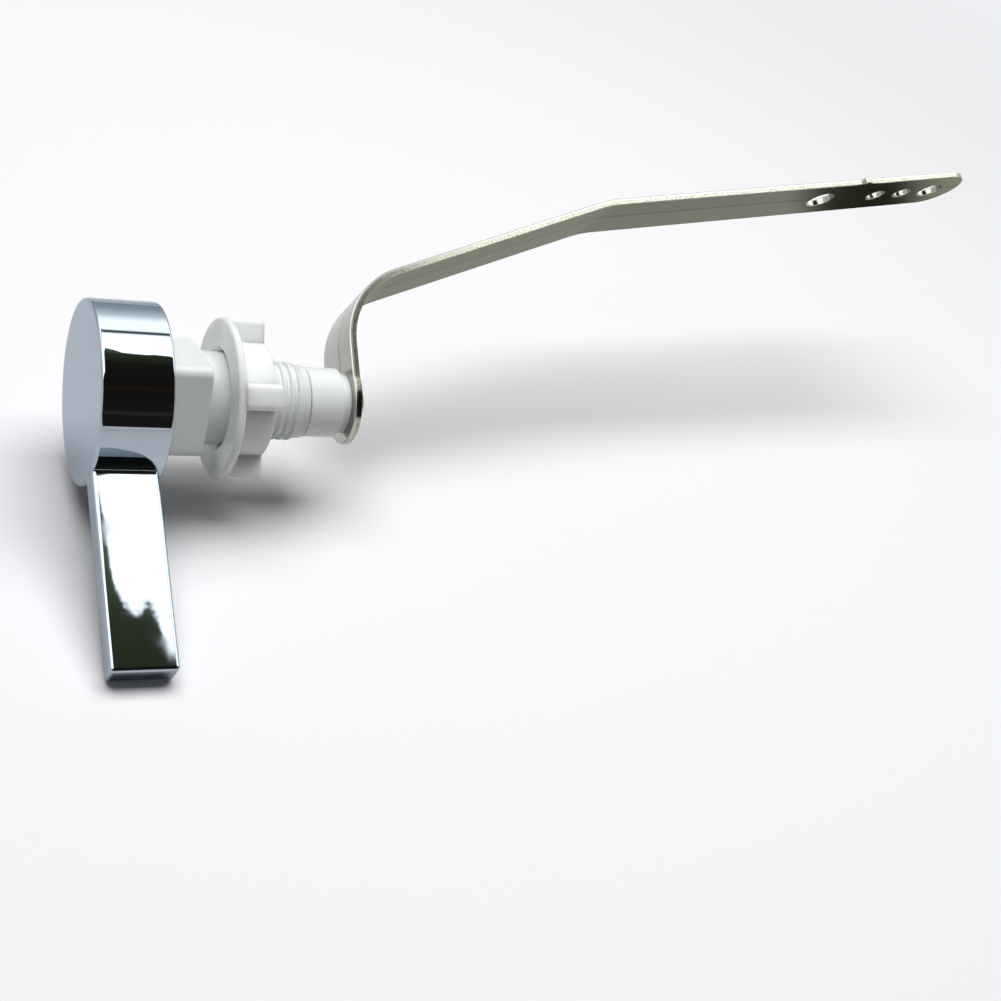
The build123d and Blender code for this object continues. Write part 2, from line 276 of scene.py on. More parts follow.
def rounded_line(corners, radii, closed=False):
    """Points of a flat line whose corners are arcs.

    With half the inside angle h at a corner and radius r, the arc starts r / tan(h) from the corner,
    and its centre lies r / sin(h) from the corner, midway between the two straights.
    """
    corners = np.asarray(corners, float)
    points = []
    for number, (here, radius) in enumerate(zip(corners, radii)):
        if radius == 0 or (not closed and number in (0, len(corners) - 1)):
            points.append(here[None])
            continue
        back = corners[number - 1] - here
        ahead = corners[(number + 1) % len(corners)] - here
        back = back / np.linalg.norm(back)
        ahead = ahead / np.linalg.norm(ahead)
        middle = (back + ahead) / np.linalg.norm(back + ahead)
        half = np.arccos(np.clip(back @ ahead, -1, 1)) / 2
        reach = radius / tan(half)
        centre = here + middle * radius / sin(half)
        first = here + back * reach - centre
        last = here + ahead * reach - centre
        start = np.arctan2(first[1], first[0])
        sweep = (np.arctan2(last[1], last[0]) - start + pi) % (2 * pi) - pi
        turn = start + sweep * np.linspace(0, 1, ARC_STEPS + 1)
        arc = centre + radius * np.stack([np.cos(turn), np.sin(turn)], -1)
        points += [(here + back * (reach + HOLD))[None], arc, (here + ahead * (reach + HOLD))[None]]
    return np.concatenate(points)


def grid_quads(rows, columns, wrap_rows=False, wrap_columns=True):
    """Quads between neighbouring points of a grid that is numbered row by row."""
    index = np.arange(rows * columns).reshape(rows, columns)
    if wrap_rows:
        index = np.vstack([index, index[:1]])
    if wrap_columns:
        index = np.hstack([index, index[:, :1]])
    sides = [index[:-1, :-1], index[1:, :-1], index[1:, 1:], index[:-1, 1:]]
    return np.stack(sides, -1).reshape(-1, 4)


def outward(points, quads):
    """A closed shell, its quads turned over if its volume, the sum of a . (b x c) / 6, is negative."""
    a, b, c, d = (points[quads[:, side]] for side in range(4))
    volume = np.sum(a * (np.cross(b, c) + np.cross(c, d))) / 6
    return points, quads if volume > 0 else quads[:, ::-1]


def turned(rings, wrap_rows=False, around=AROUND):
    """Shell about the X axis from rings (x, r), where x and r are numbers or one value for each angle."""
    x = np.array([np.broadcast_to(ring[0], around.shape) for ring in rings])
    r = np.array([np.broadcast_to(ring[1], around.shape) for ring in rings])
    points = np.stack([x, r * np.cos(around), r * np.sin(around)], -1).reshape(-1, 3)
    return outward(points, grid_quads(len(rings), len(around), wrap_rows))


def rounded_square(around, half_side, corner):
    """Distance from the axis to a rounded square at each angle: flats, and arcs about its four corners."""
    octant = np.abs((around + pi / 4) % (pi / 2) - pi / 4)
    inner = half_side - corner
    middle = inner * (np.cos(octant) + np.sin(octant))
    arc = middle + np.sqrt(np.maximum(middle ** 2 - 2 * inner ** 2 + corner ** 2, 0))
    return np.where(np.tan(octant) <= inner / half_side, half_side / np.cos(octant), arc)


def rounded_section(half_a, half_b, corner, inset):
    """Rounded rectangle about the origin, its sides drawn in by the inset."""
    a = half_a - inset
    b = half_b - inset
    corners = [(-a, -b), (a, -b), (a, b), (-a, b)]
    return rounded_line(corners, [max(corner - inset, HOLD)] * 4, closed=True)


def ring_sector(inner, outer, low_x, high_x, start, span):
    """Closed block about the axis: a rectangle in x and radius, swept over the span of radians."""
    turn = start + span * np.linspace(0, 1, 17)
    x = np.array([low_x, low_x, high_x, high_x])
    r = np.array([inner, outer, outer, inner])
    points = np.stack(np.broadcast_arrays(
        x, r * np.cos(turn)[:, None], r * np.sin(turn)[:, None]), -1).reshape(-1, 3)
    last = 4 * (len(turn) - 1)
    ends = np.array([[0, 1, 2, 3], [last + 3, last + 2, last + 1, last]])
    return outward(points, np.vstack([grid_quads(len(turn), 4), ends]))


def new_piece(name, shells, body, node, finish, sharp_degrees=35, merge=True):
    """Join closed shells into one smooth mesh in metres that stands for a node and rides on its body."""
    starts = np.cumsum([0] + [len(points) for points, quads in shells])
    points = np.concatenate([points for points, quads in shells]) * MM
    quads = np.concatenate([quads + start for (own, quads), start in zip(shells, starts)])
    mesh = bpy.data.meshes.new(name)
    mesh.from_pydata(points.tolist(), [], quads.tolist())
    if merge:
        merged = bmesh.new()
        merged.from_mesh(mesh)
        bmesh.ops.remove_doubles(merged, verts=merged.verts, dist=0.0005 * MM)
        merged.to_mesh(mesh)
        merged.free()
    mesh.shade_smooth()
    mesh.set_sharp_from_angle(angle=radians(sharp_degrees))
    mesh.materials.append(finish)
    piece = bpy.data.objects.new(name, mesh)
    bpy.context.scene.collection.objects.link(piece)
    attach(piece, body)
    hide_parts(node)
    print(name, len(mesh.polygons), "faces")
    return piece


# %% [markdown]
# The handle is one hollow casting: a drum, open at the back, with a flat bar on its side. The drum is
# a profile turned about the axis, from the middle of its face, round the rim and back down the boss
# to the bottom of the screw hole. The bar's loops start on the drum's wall with a small fillet, run
# out to the bar's end and close there over a rounded edge. Its front is bowed a little along its
# length, as a polished bar is, which is what makes reflections run out along it.

# %% Handle
press_turn = radians(39.1)  # handle below level
drum_radius = 16.85
drum_face_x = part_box("handle")[0].x / MM
drum_rim_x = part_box("handle")[1].x / MM
cavity_radius = drum_radius - 2.0
cavity_floor_x = drum_face_x + 2.6
boss_radius = 7.0
boss_x = -3.95
socket_x = boss_x - 3.0
socket_half = 3.45
screw_hole_x = socket_x - 4.3
screw_hole_radius = 1.95
bar_x = drum_face_x + 0.1
bar_half_width = 5.875
bar_half_thickness = 2.575
bar_reach = 53.5
bar_edge = 0.7
bar_foot = 0.35  # fillet where the bar meets the drum
bar_root = 1.2  # how far the bar's first loop lies inside the drum's wall
bar_bow = 0.06  # how far the ends of the front lie below its middle
handle_back = np.array([0, cos(press_turn), sin(press_turn)])
handle_up = np.array([0, -sin(press_turn), cos(press_turn)])


def drum_shell():
    """Turned drum with its cavity and boss, and a square socket that leads to the screw hole."""
    profile = rounded_line(
        [(drum_face_x, 0), (drum_face_x, drum_radius), (drum_rim_x, drum_radius),
         (drum_rim_x, cavity_radius), (cavity_floor_x, cavity_radius), (cavity_floor_x, boss_radius),
         (boss_x, boss_radius), (boss_x, socket_half * 1.5)],
        [0, 0.7, 0.4, 0.2, 0.6, 0.6, 0.3, 0])
    square = rounded_square(AROUND - press_turn, socket_half, 0.1)
    socket = [(boss_x, square), (socket_x, square), (socket_x, screw_hole_radius),
              (screw_hole_x, screw_hole_radius), (screw_hole_x, 0)]
    return turned([*profile, *socket])


def bar_shell():
    """Loops of a rounded rectangle from the drum's wall to the bar's end, each with its inset and place."""
    fillet = [(-bar_foot * (1 - cos(turn)), bar_foot * (1 - sin(turn))) for turn in QUARTER[::-1]]
    foot = [(0, -bar_root), *fillet]
    last = bar_reach - bar_edge
    run = [(0, along) for along in np.linspace(drum_radius + 1, last - HOLD, 24)]
    end = [(bar_edge * (1 - cos(turn)), last + bar_edge * sin(turn)) for turn in QUARTER]
    rings = []
    for number, (inset, along) in enumerate(foot + run + end):
        loop = rounded_section(bar_half_width, bar_half_thickness, bar_edge, inset)
        up = loop[:, 1]
        if number < len(foot):
            along = np.sqrt((drum_radius - 0.04) ** 2 - up ** 2) + along
        share = 2 * (along - drum_radius) / (bar_reach - drum_radius) - 1
        front = np.clip(loop[:, 1] / bar_half_thickness, 0, 1)
        up = up - bar_bow * share ** 2 * front
        across = np.maximum(loop[:, 0], -bar_half_width)  # flush with the drum's face on that side
        rings.append(np.stack([across, np.broadcast_to(along, up.shape), up], -1))
    root = rings[0].mean(0) - (0, 0.3, 0)
    tip = rings[-1].mean(0)
    rings = np.array([np.broadcast_to(root, rings[0].shape), *rings,
                      np.broadcast_to(tip, rings[0].shape)])
    x, along, up = rings.reshape(-1, 3).T
    points = (x + bar_x + bar_half_width)[:, None] * np.array([1, 0, 0])
    points = points - along[:, None] * handle_back + up[:, None] * handle_up
    return outward(points, grid_quads(len(rings), rings.shape[1]))


stop_inner = 10.2
stop_outer = 12.8
stop_end_x = -1.35
stop_half_span = radians(12)
stop_lug = ring_sector(stop_inner, stop_outer, cavity_floor_x - 0.2, stop_end_x,
                       press_turn - stop_half_span, 2 * stop_half_span)
new_piece("handle_casting", [drum_shell(), bar_shell(), stop_lug],
          "lever", "handle", chrome)

# %% [markdown]
# The bush is a moulding with its own stations along the axis: a flange hidden in the drum, a square
# shank that keeps it from turning in the wall, a round shoulder, and a sleeve with a thread for the
# nut. A thread is a ridge whose place along the axis moves on by one pitch a turn, so its radius is a
# function of x and the angle together: a trapezium in the fraction of x / pitch - angle / 360. It
# runs the other way here, as a left-hand thread, and fades out into the plain end of the sleeve.

# %% Bush
bush_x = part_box("bush")[0].x / MM
sleeve_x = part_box("bush")[1].x / MM
bore_radius = 4.96
flange_x = -2.4
flange_radius = 14.4
groove_start = radians(-12.5)  # stop lug's groove in the flange
groove_end = radians(51.6)
groove_depth = 1.4
groove_inner = 9.85
groove_outer = 13.15
hub_radius = 7.0
square_x = 8.1
square_half = 8.6
square_corner = 1.6
shoulder_x = 13.0
thread_crest = 7.35
thread_depth = 0.55
thread_pitch = 1.5
thread_x = 25.4
pilot_radius = 6.9
pilot_edge = 0.3


def thread_radius(x, around):
    """Sleeve's radius at x for each angle: crest, flanks and root of a left-hand thread that fades out."""
    fraction = (x / thread_pitch + around / (2 * pi)) % 1
    groove = np.clip(2.2 * np.abs(2 * fraction - 1) - 0.6, 0, 1)
    groove = groove ** 2 * (3 - 2 * groove)
    fade = np.clip((thread_x + 0.6 - x) / 0.8, 0, 1) * np.clip((x - shoulder_x) / 0.5, 0, 1)
    lead = np.clip(x - thread_x, 0, 1) * (thread_crest - pilot_radius)
    return np.maximum(thread_crest - lead - thread_depth * fade * groove, pilot_radius - 0.1)


def bush_shell():
    """Rings from the bore's outer end over flange, square, shoulder and thread, and back along the bore."""
    edges = np.array([groove_start, groove_start + 2 * pi, groove_end]) % (2 * pi)
    around = np.unique(np.concatenate([AROUND, edges - 1e-4, edges + 1e-4]))
    from_start = (around - groove_start) % (2 * pi)
    floor = np.where(from_start <= groove_end - groove_start, flange_x + groove_depth, flange_x)
    square = rounded_square(around, square_half, square_corner)
    proud = square - square_half
    corner_edge = 0.5
    hub = rounded_line(
        [(bush_x, bore_radius), (bush_x, hub_radius), (flange_x, hub_radius), (flange_x, groove_inner)],
        [0, 0.2, 0.2, 0])
    groove = [(floor, groove_inner), (floor, groove_outer), (flange_x, groove_outer)]
    rim = rounded_line([(flange_x, 13.2), (flange_x, flange_radius), (0, flange_radius), (0, 13.0)],
                       [0, 0.3, 0.3, 0])
    shank = [(0, square), (square_x - corner_edge - HOLD, square)]
    shank += [(square_x - corner_edge * (1 - sin(turn)),
               square - proud / proud.max() * corner_edge * (1 - cos(turn))) for turn in QUARTER]
    shoulder = rounded_line(
        [(square_x, square_half), (shoulder_x, square_half), (shoulder_x, thread_crest)], [0, 0.3, 0])
    thread = [(x, thread_radius(x, around)) for x in np.arange(shoulder_x, thread_x + 1.3, 0.06)]
    end = rounded_line([(thread_x + 1.4, pilot_radius), (sleeve_x, pilot_radius), (sleeve_x, bore_radius)],
                       [0, pilot_edge, 0])
    rings = [*hub, *groove, *rim, *shank, *shoulder, *thread, *end]
    return turned(rings, wrap_rows=True, around=around)


new_piece("bush_moulding", [bush_shell()], "bush", "bush", shaded_bush_white)

# %% [markdown]
# The nut is turned by hand, so it has lugs. A thin round flange bears on the wall, a round body holds
# the thread, and the lugs stand on the flange's back. The body is a turned profile, and each lug is
# a rounded rectangle carried outwards from inside the body, its end following the flange's round.

# %% Nut
nut_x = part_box("nut")[0].x / MM
nut_lug_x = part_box("nut")[1].x / MM
nut_radius = 14.9
nut_rim_x = nut_x + 1.5
nut_body_x = nut_x + 8.4
nut_body_radius = 10.7
nut_bore_radius = 7.41
mouth_x = nut_x + 2.0
mouth_radius = 8.66
lug_half_width = 2.4
lug_edge = 1.0
lug_overlap = 0.6  # how far a lug reaches into the flange
lug_turns = np.radians(66.7 + 90 * np.arange(4))


def nut_body_shell():
    """Closed profile of flange, body, threaded bore and chamfered mouth."""
    profile = rounded_line(
        [(nut_x, mouth_radius + 0.9), (nut_x, nut_radius), (nut_rim_x, nut_radius),
         (nut_rim_x, nut_body_radius), (nut_body_x, nut_body_radius), (nut_body_x, nut_bore_radius),
         (mouth_x, nut_bore_radius), (mouth_x, mouth_radius), (nut_x + 0.9, mouth_radius)],
        [0.15, 0.5, 0.5, 0.5, 0.5, 0.3, 0, 0, 0.15], closed=True)
    return turned(profile, wrap_rows=True)


def lug_shell(turn):
    """Rounded block along one radius: half widths across and along the axis, drawn in at the outer end."""
    half_length = (nut_lug_x - nut_rim_x + lug_overlap) / 2
    start = nut_body_radius - 1.0
    last = nut_radius - lug_edge
    insets = [lug_edge * (1 - cos(step)) for step in QUARTER]
    alongs = [last + lug_edge * sin(step) for step in QUARTER]
    rings = []
    for inset, along in zip([0, 0, *insets], [start, last - HOLD, *alongs]):
        loop = rounded_section(lug_half_width, half_length, lug_edge, inset)
        round_off = nut_radius - np.sqrt(nut_radius ** 2 - loop[:, 0] ** 2)
        sag = round_off * (along - start) / (nut_radius - start)
        rings.append(np.stack([along - sag, loop[:, 0], loop[:, 1]], -1))
    root = np.broadcast_to((start, 0, 0), rings[0].shape)
    tip = np.broadcast_to((nut_radius, 0, 0), rings[0].shape)
    rings = np.array([root, *rings, tip])
    out, across, x = rings.reshape(-1, 3).T
    points = np.stack([x + nut_lug_x - half_length, out * cos(turn) - across * sin(turn),
                       out * sin(turn) + across * cos(turn)], -1)
    return outward(points, grid_quads(len(rings), rings.shape[1]))


new_piece("nut_moulding", [nut_body_shell(), *[lug_shell(turn) for turn in lug_turns]],
          "nut", "nut", nut_white)

# %% [markdown]
# The spindle joins the handle to the arm. Only its collar shows, between the sleeve and the arm, but
# its hidden ends keep their form too: a square tenon in the handle's boss, a round journal in the
# bush, and a key with two flats in the arm's eye. All are rings about one axis, so a square or a
# flat-sided station is only a radius that changes with the angle.

# %% Spindle
tenon_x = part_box("spindle")[0].x / MM
key_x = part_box("spindle")[1].x / MM
journal_radius = 4.9
collar_x = sleeve_x + 0.25
collar_radius = 6.6
seat_x = collar_x + 6.6
seat_radius = 5.7
arm_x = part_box("arm")[0].x / MM
arm_turn = press_turn + radians(10.1)
key_radius = 4.0
key_half_flats = 3.0
tenon_half = 3.4
tenon_corner = 0.3
screw_bore_radius = 2.1


def spindle_shell():
    """Rings over tenon, journal, collar and key, and back along the screw's bore."""
    tenon = rounded_square(AROUND - press_turn, tenon_half, tenon_corner)
    across = np.abs(np.sin(AROUND - arm_turn))
    key = np.minimum(key_radius, key_half_flats / np.maximum(across, 1e-6))
    collar = rounded_line(
        [(collar_x, journal_radius), (collar_x, collar_radius), (seat_x, collar_radius),
         (seat_x, seat_radius), (arm_x, seat_radius), (arm_x, key_radius)],
        [0, 0.4, 0.4, 0.1, 0.1, 0])
    rings = [(tenon_x, screw_bore_radius), (tenon_x, tenon), (boss_x, tenon), (boss_x, journal_radius),
             *collar, (arm_x, key), (key_x, key), (key_x, screw_bore_radius)]
    return turned(rings, wrap_rows=True)


new_piece("spindle_moulding", [spindle_shell()], "lever", "spindle", spindle_white)

# %% [markdown]
# The arm was cut from flat strip, punched and then bent, and it is made the same way here. First comes
# a flat sheet of patches in two coordinates, along the strip and across it. A patch with a hole is
# rings between the hole's edge and the patch's outline, and plain stretches are grids. Then the
# sheet gets its thickness and small bevels, and at last each point is carried along the bent path,
# whose heading changes evenly along each bend.

# %% Arm
strip_half_width = 7.3
strip_thickness = 1.4
strip_bevel = 0.15
eye_radius = 7.8
first_corner = 21.4
second_leg = 66.5
third_leg = 106.9
headings = np.radians([90, 21.3, 10.1])  # of the three legs, from the spindle's axis
bend_radii = np.array([16.7, 30.0])
chain_holes = ((8.7, 3.0), (17.7, 2.3), (26.3, 2.3), (43.5, 3.3))  # distance from the tip, radius
burr_from_tip = 34.7
burr_half_length = 1.0
burr_height = 0.9
hole_margin = 1.5  # from a hole's edge to the end of its patch
eye_margin = 0.6  # from the eye's round to the end of its patch
key_clearance = 0.05
ACROSS = np.linspace(-strip_half_width, strip_half_width, 21)

bend_turns = headings[:-1] - headings[1:]
tangents = bend_radii * np.tan(bend_turns / 2)
first_straight = first_corner - tangents[0]
second_straight = second_leg - tangents.sum()
third_straight = third_leg - tangents[1]
stations = np.cumsum([first_straight, bend_radii[0] * bend_turns[0], second_straight,
                      bend_radii[1] * bend_turns[1], third_straight])
strip_end = stations[-1]
burr_ends = (strip_end - burr_from_tip - burr_half_length, strip_end - burr_from_tip + burr_half_length)


def carry(along, across, depth):
    """Points of the bent strip: place on the path, plus depth along its normal and the width across it.

    The heading is linear in the distance along each bend, and the place is the running sum of its
    cosine and sine, taken in steps of 0.01 mm.
    """
    step = 0.01
    walk = np.arange(-eye_radius - 1, strip_end + 1, step)
    heading = np.interp(walk, stations[:4], headings[[0, 1, 1, 2]])
    middle = np.interp(walk + step / 2, stations[:4], headings[[0, 1, 1, 2]])
    path_x = np.concatenate([[0], np.cumsum(np.cos(middle[:-1]) * step)])
    path_y = np.concatenate([[0], np.cumsum(np.sin(middle[:-1]) * step)])
    path_x += arm_x - np.interp(0, walk, path_x)
    path_y -= np.interp(0, walk, path_y)
    turn = np.interp(along, walk, heading)
    x = np.interp(along, walk, path_x) + depth * np.sin(turn)
    y = np.interp(along, walk, path_y) - depth * np.cos(turn)
    return np.stack([x, y * cos(arm_turn) - across * sin(arm_turn),
                     y * sin(arm_turn) + across * cos(arm_turn)], -1)


def plain_patches(start, end):
    """Grids over a plain stretch of the strip, cut where the burr starts and ends."""
    cuts = [start, *[cut for cut in burr_ends if start < cut < end], end]
    patches = []
    for low, high in zip(cuts, cuts[1:]):
        along = np.linspace(low, high, max(int((high - low) / 1.2), 1) + 1)
        points = np.stack(np.meshgrid(along, ACROSS, indexing="ij"), -1).reshape(-1, 2)
        patches.append((points, grid_quads(len(along), len(ACROSS), wrap_columns=False)))
    return patches


def burr_patch():
    """Small tongue that the press left on the strip's edge, narrower at its top."""
    up = np.array([0, 0.5, 0.85, 1.0])
    draw = np.array([0, 0.04, 0.12, 0.3])
    first = np.stack([burr_ends[0] + draw, strip_half_width + burr_height * up], -1)
    last = np.stack([burr_ends[1] - draw, strip_half_width + burr_height * up], -1)
    return np.concatenate([first, last]), grid_quads(2, 4, wrap_columns=False)


def holed_patch(low, high, near, far, centre, hole):
    """Rings from a hole's edge to the patch's outline: far end, upper side, near end and lower side."""
    side = np.linspace(low, high, 13)[1:-1]
    upper = np.stack([side[::-1], np.full(side.shape, strip_half_width)], -1)
    lower = np.stack([side, np.full(side.shape, -strip_half_width)], -1)
    outline = np.concatenate([far, upper, near, lower])
    angle = np.arctan2(outline[:, 1], outline[:, 0] - centre)
    edge = hole(angle)[:, None] * np.stack([np.cos(angle), np.sin(angle)], -1) + (centre, 0)
    share = np.linspace(0, 1, 7)[:, None, None]
    points = ((1 - share) * edge + share * outline).reshape(-1, 2)
    return points, grid_quads(7, len(outline))


def straight_end(along, side):
    """One end of a patch, straight across the strip; side is 1 upwards and -1 downwards."""
    return np.stack([np.full(ACROSS.shape, along), side * ACROSS], -1)


def round_end(centre, radius, turns):
    """One end of a patch that follows a circle about a point on the strip's middle."""
    return np.stack([centre + radius * np.cos(turns), radius * np.sin(turns)], -1)


def eye_patch(high):
    """Eye: a circle a little wider than the strip, with a hole whose two flats the spindle's key fills."""
    low = np.sqrt(eye_radius ** 2 - strip_half_width ** 2)
    meet = np.arctan2(strip_half_width, low)
    near = round_end(0, eye_radius, np.linspace(meet, 2 * pi - meet, 61))

    def hole(angle):
        flats = (key_half_flats + key_clearance) / np.maximum(np.abs(np.sin(angle)), 1e-6)
        return np.minimum(key_radius + key_clearance, flats)

    return holed_patch(low, high, near, straight_end(high, 1), 0, hole)


def chain_patch(from_tip, radius):
    """Patch with one chain hole; the one nearest the tip ends in the strip's half circle."""
    centre = strip_end - from_tip
    low = centre - radius - hole_margin
    high = centre + radius + hole_margin
    far = straight_end(high, 1)
    if from_tip == chain_holes[0][0]:
        high = strip_end - strip_half_width
        far = round_end(high, strip_half_width, np.linspace(-pi / 2, pi / 2, 41))
    patch = holed_patch(low, high, straight_end(low, -1), far, centre,
                        lambda angle: np.full(angle.shape, radius))
    return low, high, patch


def flat_sheet():
    """The strip before bending: its patches joined, points that meet made one."""
    start = eye_radius + eye_margin
    patches = [eye_patch(start), burr_patch()]
    for from_tip, radius in chain_holes[::-1]:
        low, high, patch = chain_patch(from_tip, radius)
        patches += [*plain_patches(start, low), patch]
        start = high
    starts = np.cumsum([0] + [len(points) for points, quads in patches])
    points = np.concatenate([points for points, quads in patches])
    quads = np.concatenate([quads + first for (own, quads), first in zip(patches, starts)])
    points, same = np.unique(np.round(points, 4), axis=0, return_inverse=True)
    return points, same.reshape(-1)[quads]


def strip_shell():
    """Both faces of the sheet, drawn in at their edges by the bevel, and a wall between them."""
    sheet, quads = flat_sheet()
    a, b, c, d = (sheet[quads[:, side]] for side in range(4))
    across, back = c - a, d - b
    area = across[:, 0] * back[:, 1] - across[:, 1] * back[:, 0]
    quads = np.where(area[:, None] > 0, quads, quads[:, ::-1])
    sides = np.concatenate([quads[:, [side, (side + 1) % 4]] for side in range(4)])
    found, first, count = np.unique(np.sort(sides, 1), axis=0, return_index=True, return_counts=True)
    rim = sides[first[count == 1]]
    run = sheet[rim[:, 1]] - sheet[rim[:, 0]]
    outside = np.stack([run[:, 1], -run[:, 0]], -1)
    outside = outside / np.linalg.norm(outside, axis=1)[:, None]
    normal = np.zeros_like(sheet)
    np.add.at(normal, rim[:, 0], outside)
    np.add.at(normal, rim[:, 1], outside)
    length = np.linalg.norm(normal, axis=1)[:, None]
    normal = np.divide(normal, length, out=np.zeros_like(normal), where=length > 0)
    face = sheet - strip_bevel * normal
    levels = [(face, 0), (sheet, strip_bevel),
              (sheet, strip_thickness - strip_bevel), (face, strip_thickness)]
    flat = np.concatenate([places for places, depth in levels])
    depth = np.repeat([depth for places, depth in levels], len(sheet))
    size = len(sheet)
    walls = [np.stack([rim[:, 0] + size * k, rim[:, 0] + size * (k + 1),
                       rim[:, 1] + size * (k + 1), rim[:, 1] + size * k], -1) for k in range(3)]
    faces = np.concatenate([quads, quads[:, ::-1] + 3 * size])
    sheared = np.concatenate([np.zeros(len(faces)), np.ones(3 * len(rim))])
    used, corners = np.unique(np.concatenate([faces, *walls]), return_inverse=True)
    return flat[used], depth[used], corners.reshape(-1, 4), sheared


def make_arm():
    """Carry the sheet along the path, then store the strip's own coordinates and its sheared faces."""
    flat, depth, quads, sheared = strip_shell()
    points, quads = outward(carry(flat[:, 0], flat[:, 1], depth), quads)
    arm = new_piece("arm_strip", [(points, quads)], "lever", "arm", arm_steel,
                    sharp_degrees=30, merge=False)
    mesh = arm.data
    mesh.uv_layers.new(name="along").data.foreach_set("uv", (flat[quads.reshape(-1)] * MM).reshape(-1))
    mesh.attributes.new("sheared", "FLOAT", "FACE").data.foreach_set("value", sheared)
    mesh.attributes.new("through", "FLOAT", "POINT").data.foreach_set("value", depth / strip_thickness)
    print("strip", len(quads), "faces, sheared", int(sheared.sum()), "length", round(strip_end, 2), "mm")


make_arm()

# %% [markdown]
# The washer and the long screw hold the arm on the spindle's key. They show only from behind. Their
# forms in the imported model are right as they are, so they keep their meshes and only get a finish.

# %% Washer and screw
for node in ("arm_washer", "arm_screw"):
    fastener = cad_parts[node]
    fastener.data.materials.clear()
    fastener.data.materials.append(fastener_steel)
    print(node, len(fastener.data.polygons), "faces")

# %% [markdown]
# The lever lies on a pale table under a broad light from above, so its upper sides are bright and its
# near sides fall off to grey. The table is tilted to the frame, because the frame is that of the lever
# in a wall. It is seen from its upper side only, so views from below stay clear, and away from the
# lever it passes into the white of the world, so that no hard horizon shows.

# %% Table and light
table_turn = radians(17)
table_drop = 22.9
table_size = 6000
lever_middle = 100  # mm along X
fade_start = 240  # mm from there, where the table starts to pass into the world's white
fade_end = 640
WORLD_WHITE = "#f6f8fb"
table_normal = np.array([0, -sin(table_turn), cos(table_turn)])
table_slope = np.array([0, cos(table_turn), sin(table_turn)])


def stage_sheet(name, low, high, height, finish):
    """Flat sheet parallel to the table: corners along X and up its slope, and a height above it."""
    flat = ((low[0], low[1]), (high[0], low[1]), (high[0], high[1]), (low[0], high[1]))
    corners = [(a, 0, 0) + b * table_slope + (height - table_drop) * table_normal for a, b in flat]
    mesh = bpy.data.meshes.new(name)
    mesh.from_pydata((np.array(corners) * MM).tolist(), [], [(0, 1, 2, 3)])
    mesh.materials.append(finish)
    sheet = bpy.data.objects.new(name, mesh)
    bpy.context.scene.collection.objects.link(sheet)
    return sheet


def background_rays(tree):
    """1 for rays that should show the pale background: from the camera, from gloss and through glass."""
    path = put(tree, "ShaderNodeLightPath", {})
    gloss = put(tree, "ShaderNodeMath", {
        0: path.outputs["Is Camera Ray"], 1: path.outputs["Is Glossy Ray"]}, operation="MAXIMUM")
    either = put(tree, "ShaderNodeMath", {
        0: gloss.outputs[0], 1: path.outputs["Is Transmission Ray"]}, operation="MAXIMUM")
    return either.outputs[0]


def table_white():
    """Matt white above and clear below, darker where its light falls back on the lever.

    Between two distances from the lever's middle it passes into the plain white that the world shows.
    """
    finish, tree = new_finish("table_white")
    seen = background_rays(tree)
    tint = put(tree, "ShaderNodeMix", {
        0: seen, 6: linear("#c0c0be"), 7: linear("#f2f2f4")}, data_type="RGBA")
    matt = put(tree, "ShaderNodeBsdfDiffuse", {"Color": tint.outputs[2]})
    place = put(tree, "ShaderNodeTexCoord", {}).outputs["Object"]
    away = put(tree, "ShaderNodeVectorMath", {0: place, 1: (lever_middle * MM, 0, 0)}, operation="DISTANCE")
    far = put(tree, "ShaderNodeMapRange", {
        "Value": away.outputs["Value"], "From Min": fade_start * MM, "From Max": fade_end * MM},
        interpolation_type="SMOOTHSTEP")
    faded = put(tree, "ShaderNodeMath", {0: seen, 1: far.outputs["Result"]}, operation="MULTIPLY")
    horizon = put(tree, "ShaderNodeEmission", {"Color": linear(WORLD_WHITE)})
    above = put(tree, "ShaderNodeMixShader", {
        0: faded.outputs[0], 1: matt.outputs[0], 2: horizon.outputs[0]})
    clear = put(tree, "ShaderNodeBsdfTransparent", {})
    under = put(tree, "ShaderNodeNewGeometry", {}).outputs["Backfacing"]
    surface(tree, put(tree, "ShaderNodeMixShader", {0: under, 1: above.outputs[0], 2: clear.outputs[0]}))
    return finish


def make_light(name, x, angle, distance, size, power):
    """Area light at x, at an angle from +Y towards +Z and a distance, aimed at the spindle's axis."""
    lamp = bpy.data.lights.new(name, "AREA")
    lamp.shape = "RECTANGLE"
    lamp.size = size[0] * MM
    lamp.size_y = size[1] * MM
    lamp.energy = power
    light = bpy.data.objects.new(name, lamp)
    light.location = np.array([x, distance * cos(radians(angle)), distance * sin(radians(angle))]) * MM
    light.rotation_euler = Euler((radians(angle - 90), 0, 0))
    light.visible_glossy = False
    bpy.context.scene.collection.objects.link(light)


table_half = table_size / 2
stage_sheet("table", (-table_half, -table_half), (table_half, table_half), 0, table_white())
make_light("sky_window", x=60, angle=101, distance=900, size=(1000, 600), power=11.0)
world = bpy.data.worlds.new("studio")
bpy.context.scene.world = world
world.use_nodes = True
world.node_tree.nodes.clear()
level = put(world.node_tree, "ShaderNodeMapRange", {
    "Value": background_rays(world.node_tree), "To Min": 0.04, "To Max": 1.0})
sky = put(world.node_tree, "ShaderNodeBackground", {
    "Color": linear(WORLD_WHITE), "Strength": level.outputs["Result"]})
put(world.node_tree, "ShaderNodeOutputWorld", {"Surface": sky.outputs[0]})
print("table and light in place")

